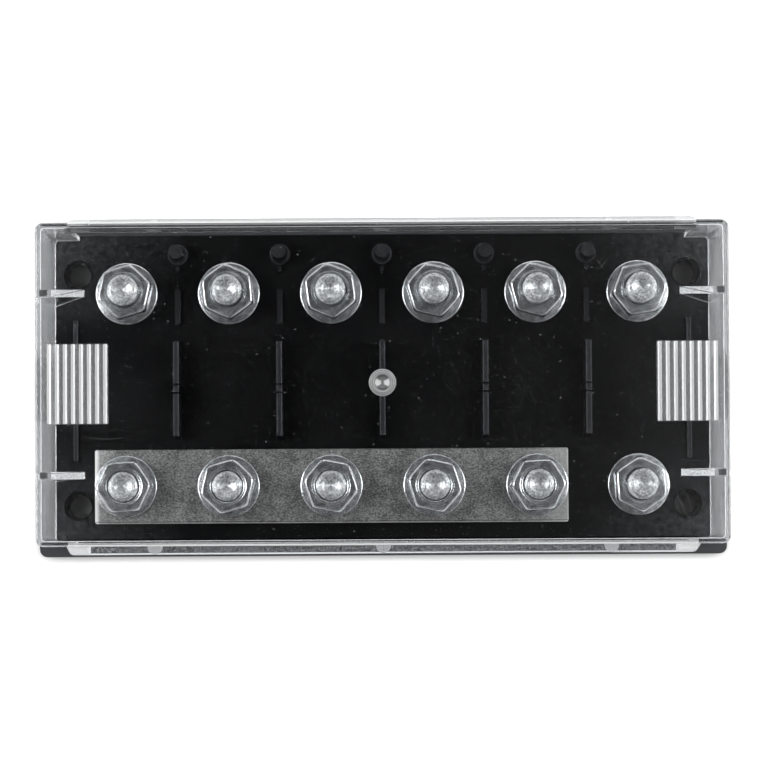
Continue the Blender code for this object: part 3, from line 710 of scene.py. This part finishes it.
def painted_dark_lines(tree, axes):
    """Painted shade in the clear plastic: dark lines along its edges and the gussets' roots, and a painted
    shadow on the rear lip.
    """
    x, y, z = axes
    signed_x, signed_y = signed_place(tree)[:2]
    rear = (x, signed_y, z)
    return plus(
        tree,
        box_mask(tree, axes, (GUSSET_ROOT_X, GUSSET_Y, PLATE_Z)),
        box_mask(tree, axes, (SIDE_X, SIDE_LINE_Y, PLATE_Z)),
        box_mask(tree, axes, (CORNER_X, CORNER_LINE_Y, PLATE_Z)),
        box_mask(tree, (signed_x, y, z), (END_LINE_X, END_LINE_Y, PLATE_Z)),
        times(tree, box_mask(tree, rear, (REAR_LINE_X, REAR_LINE_Y, PLATE_Z)), 0.6),
        # painted shadow on the rear lip
        times(tree, box_mask(tree, rear, (LIP_X, LIP_Y, LIP_Z)), 0.3))


def let_lamps_through(tree, shader):
    """Make a shader plain see-through for shadow rays, so that lamps reach what it covers."""
    see = tree.nodes.new("ShaderNodeBsdfTransparent")
    see.inputs["Color"].default_value = (*CLEAR_SHADOW, 1)
    path = tree.nodes.new("ShaderNodeLightPath")
    choose = tree.nodes.new("ShaderNodeMixShader")
    surface = shader.outputs["BSDF"].links[0].to_socket
    tree.links.new(path.outputs["Is Shadow Ray"], choose.inputs[0])
    tree.links.new(shader.outputs["BSDF"], choose.inputs[1])
    tree.links.new(see.outputs["BSDF"], choose.inputs[2])
    tree.links.new(choose.outputs["Shader"], surface)


def clear_plastic():
    """Clear moulded plastic that lets lamps through, milky in places, with painted highlights where it is
    milky on gussets, edges and the gate, and with painted dark lines and a painted shadow.
    """
    material, tree, shader = new_material("clear_moulded_plastic")
    axes = folded_place(tree)
    # milkiness: frost, dust and scratches, together with painted highlights on gussets, wall edges, lip
    # edge and gate
    milky = plus(tree, *frosting(tree, axes), gate_frost(tree, *axes), plate_wear(tree, *axes))
    clear = minus(tree, 1.0, milky, clamp=True)
    tree.links.new(clear, shader.inputs["Transmission Weight"])
    # painted shade: dark lines and a painted shadow put into the base colour
    dark = math_node(tree, "MINIMUM", painted_dark_lines(tree, axes), 1.0)
    tree.links.new(mix_colour(tree, dark, CLEAR_TINT, CLEAR_PAINTED_SHADE), shader.inputs["Base Color"])
    shader.inputs["IOR"].default_value = 1.5
    rough = ramp(tree, milky, [(0.0, 0.02), (0.3, 0.25), (0.7, 0.4)])
    tree.links.new(rough, shader.inputs["Roughness"])
    let_lamps_through(tree, shader)
    return material


def zinc_plating():
    """Bright zinc with turned rings, mottled and coarser on the ends of the studs."""
    material, tree, shader = new_material("zinc_plating")
    place = object_place(tree)
    x, y, z = folded_place(tree)
    cloud = noise(tree, place, 700, detail=2)
    pitted = noise(tree, place, 1700, detail=2)
    rings = turned_lines(tree, distance(tree, x, y), ZINC_RING_PITCH)
    stud_end = fade(tree, z, *STUD_END_FADE)
    plain = mix_colour(tree, fade(tree, cloud, 0.32, 0.68), *ZINC_PLAIN)
    mottled = mix_colour(
        tree, fade(tree, plus(tree, pitted, times(tree, rings, 0.05)), 0.36, 0.64), *ZINC_MOTTLED)
    tree.links.new(mix_colour(tree, stud_end, plain, mottled), shader.inputs["Base Color"])
    rough = plus(tree, ramp(tree, cloud, [(0.3, 0.20), (0.7, 0.26)]), times(tree, stud_end, 0.11))
    tree.links.new(rough, shader.inputs["Roughness"])
    shader.inputs["Metallic"].default_value = 1.0
    turned = times(tree, rings, plus(tree, times(tree, stud_end, 0.55), 0.05))
    bump(tree, shader, plus(tree, turned, times(tree, pitted, stud_end, 1.6)), 0.35, 0.06 * MM)
    return material


def inward(tree, value, edge, direction, limits):
    """fade() between two distances from an edge, counted in a direction of 1 or -1."""
    start, end = limits
    return fade(tree, value, edge + direction * start, edge + direction * end)


def plated_bar():
    """Mottled grey plating with a fine grain, with painted highlights at both ends and along its front edge
    and a painted dark stripe just inside that edge.
    """
    material, tree, shader = new_material("busbar_plating")
    low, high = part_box("busbar")
    patches = noise(tree, object_place(tree), 200, roughness=0.65)
    grain = noise(tree, object_place(tree, (1, 1.5, 1)), 2100, detail=3, roughness=0.75)
    mottle = weighted(tree, (patches, 0.25), (grain, 0.75))
    x, y = signed_place(tree)[:2]
    # painted highlights at both ends and along the front edge
    painted_highlights = weighted(
        tree, (inward(tree, x, low.x, 1, BAR_LEFT_EDGE), 0.75),
        (inward(tree, x, low.x, 1, (BAR_LEFT_HIGHLIGHT, 0)), 0.15),
        (inward(tree, x, high.x, -1, (BAR_RIGHT_HIGHLIGHT, 0)), 0.28),
        (inward(tree, x, high.x, -1, BAR_RIGHT_EDGE), 0.2),
        (inward(tree, y, low.y, 1, BAR_FRONT_EDGE), 0.3))
    tone = mix_colour(
        tree, math_node(tree, "MINIMUM", painted_highlights, 1.0), ramp(tree, mottle, BAR_TONES), BAR_PAINTED_HIGHLIGHT)
    # painted shade: a dark stripe just inside the front edge
    near, far = BAR_LINE
    line = between(tree, y, low.y + near, low.y + far)
    colour = mix_colour(tree, times(tree, line, 0.65), tone, BAR_PAINTED_SHADE)
    tree.links.new(colour, shader.inputs["Base Color"])
    shader.inputs["Metallic"].default_value = 1.0
    tree.links.new(ramp(tree, grain, [(0.3, 0.36), (0.7, 0.56)]), shader.inputs["Roughness"])
    bump(tree, shader, grain, 0.35, 0.2 * MM)
    return material


# Camera, world, lamps and floor
def make_camera():
    """Nearly straight down from over the front edge, with the lens shifted to frame the object."""
    camera = bpy.data.cameras.new("camera")
    holder = bpy.data.objects.new("camera", camera)
    bpy.context.scene.collection.objects.link(holder)
    bpy.context.scene.camera = holder
    focal_pixels = PLATE_SCALE * CAMERA_OVER_PLATE
    camera.sensor_width = SENSOR_WIDTH
    camera.lens = SENSOR_WIDTH * focal_pixels / IMAGE_WIDTH
    camera.clip_start, camera.clip_end = CAMERA_CLIP
    axis_y = FOOT_PIXEL[1] - focal_pixels * math.tan(CAMERA_TILT)
    camera.shift_x = (IMAGE_WIDTH / 2 - FOOT_PIXEL[0]) / IMAGE_WIDTH
    camera.shift_y = (axis_y - IMAGE_HEIGHT / 2) / IMAGE_WIDTH
    turn = Matrix.Rotation(CAMERA_TILT, 4, "X") @ Matrix.Rotation(CAMERA_ROLL, 4, "Z")
    holder.matrix_world = Matrix.Translation((0, CAMERA_Y, PLATE_TOP + CAMERA_OVER_PLATE)) @ turn


def make_world():
    """White to the camera; to the object a dark ceiling, bright left and right, a softer back."""
    world = bpy.data.worlds.new("studio")
    bpy.context.scene.world = world
    world.use_nodes = True
    tree = world.node_tree
    tree.nodes.clear()
    output = tree.nodes.new("ShaderNodeOutputWorld")
    place = tree.nodes.new("ShaderNodeTexCoord")
    split = tree.nodes.new("ShaderNodeSeparateXYZ")
    tree.links.new(place.outputs["Generated"], split.inputs["Vector"])
    path = tree.nodes.new("ShaderNodeLightPath")
    ceiling = ramp(tree, split.outputs["Z"], SKY_CEILING)
    sideways = math_node(tree, "ABSOLUTE", split.outputs["X"])
    sides = times(tree, ramp(tree, sideways, SKY_SIDES), SKY_SIDES_SHARE)
    back = times(tree, ramp(tree, split.outputs["Y"], SKY_BACK), SKY_BACK_SHARE)
    right = times(tree, fade(tree, split.outputs["X"], *SKY_RIGHT), SKY_RIGHT_SHARE)
    shown = plus(tree, times(tree, ceiling, plus(tree, sides, back, SKY_BASE_SHARE)), right)
    strength = math_node(tree, "MAXIMUM", shown, path.outputs["Is Camera Ray"])
    sky = tree.nodes.new("ShaderNodeBackground")
    tree.links.new(strength, sky.inputs["Strength"])
    tree.links.new(sky.outputs["Background"], output.inputs["Surface"])


def make_lamps():
    """Area lamps that face the middle of the scene."""
    for name, place, size, power in LAMPS:
        lamp = bpy.data.lights.new(name, "AREA")
        lamp.shape = "RECTANGLE"
        lamp.size, lamp.size_y = size
        lamp.energy = power
        holder = bpy.data.objects.new(name, lamp)
        bpy.context.scene.collection.objects.link(holder)
        holder.location = place
        holder.rotation_euler = (-Vector(place)).to_track_quat("-Z", "Y").to_euler()


def make_floor():
    """Pale floor that is white to the camera and through the cover, but not under the object."""
    shape = bmesh.new()
    bmesh.ops.create_grid(shape, x_segments=1, y_segments=1, size=FLOOR_SIZE)
    mesh = bpy.data.meshes.new("floor")
    shape.to_mesh(mesh)
    shape.free()
    floor = link("floor", mesh)
    material, tree, shader = new_material("floor_white")
    shader.inputs["Roughness"].default_value = 1.0
    shader.inputs["Specular IOR Level"].default_value = 0.0
    x = folded_place(tree)[0]
    signed_y = signed_place(tree)[1]
    past_rear = fade(tree, signed_y, *SHADE_REAR)
    from_front = fade(tree, signed_y, *SHADE_FRONT)
    under = times(
        tree, between(tree, x, -FAR, base_high.x, SHADE_SOFTNESS), minus(tree, from_front, past_rear))
    tree.links.new(mix_colour(tree, under, FLOOR_WHITE, FLOOR_SHADE), shader.inputs["Base Color"])
    path = tree.nodes.new("ShaderNodeLightPath")
    seen = math_node(tree, "MAXIMUM", path.outputs["Is Camera Ray"], path.outputs["Is Transmission Ray"])
    shader.inputs["Emission Color"].default_value = (1, 1, 1, 1)
    glow = times(tree, seen, minus(tree, 1.0, under), FLOOR_GLOW)
    tree.links.new(glow, shader.inputs["Emission Strength"])
    mesh.materials.append(material)


def dress_solids():
    """Show the base, busbar and cover as rounded copies with their own materials."""
    for node, name, edge, slot, material, body, adjust in (
        ("base", "base_moulding", BASE_EDGE, "base_black", black_plastic(), "holder", None),
        ("busbar", "busbar_plate", BUSBAR_EDGE, "busbar_plating", plated_bar(), "holder", None),
        ("cover", "cover_moulding", COVER_EDGE, "cover_clear", clear_plastic(), "lid", set_sides_out),
    ):
        piece = clean_copy(node, name, edge, adjust)
        piece.data.materials.append(material)
        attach(piece, body)


def dress_fasteners():
    """Show nuts and studs as finely turned ones, each nut at the angle that the photograph shows."""
    zinc = zinc_plating()
    nut = lathe("flange_nut", nut_profile, NUT_SAMPLES, NUT_SHARP_ANGLE)
    stud = lathe("threaded_stud", stud_profile, STUD_SAMPLES, STUD_SHARP_ANGLE)
    for mesh in (nut, stud):
        mesh.materials.append(zinc)
    for row, angles in NUT_ANGLES.items():
        for index, angle in enumerate(angles):
            for kind, mesh in (("nut", nut), ("stud", stud)):
                node = f"{kind}_{row}_{index + 1}"
                low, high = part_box(node)
                piece = link(f"{mesh.name}_{row}_{index + 1}", mesh)
                middle = (low + high) / 2
                piece.location = (middle.x, middle.y, low.z if kind == "nut" else 0)
                piece.rotation_euler.z = math.radians(angle if kind == "nut" else STUD_TURN * index)
                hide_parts(node)
                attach(piece, "holder")


def main():
    make_camera()
    make_world()
    make_lamps()
    make_floor()
    dress_solids()
    dress_fasteners()
    bpy.context.scene.view_settings.view_transform = "Standard"


main()
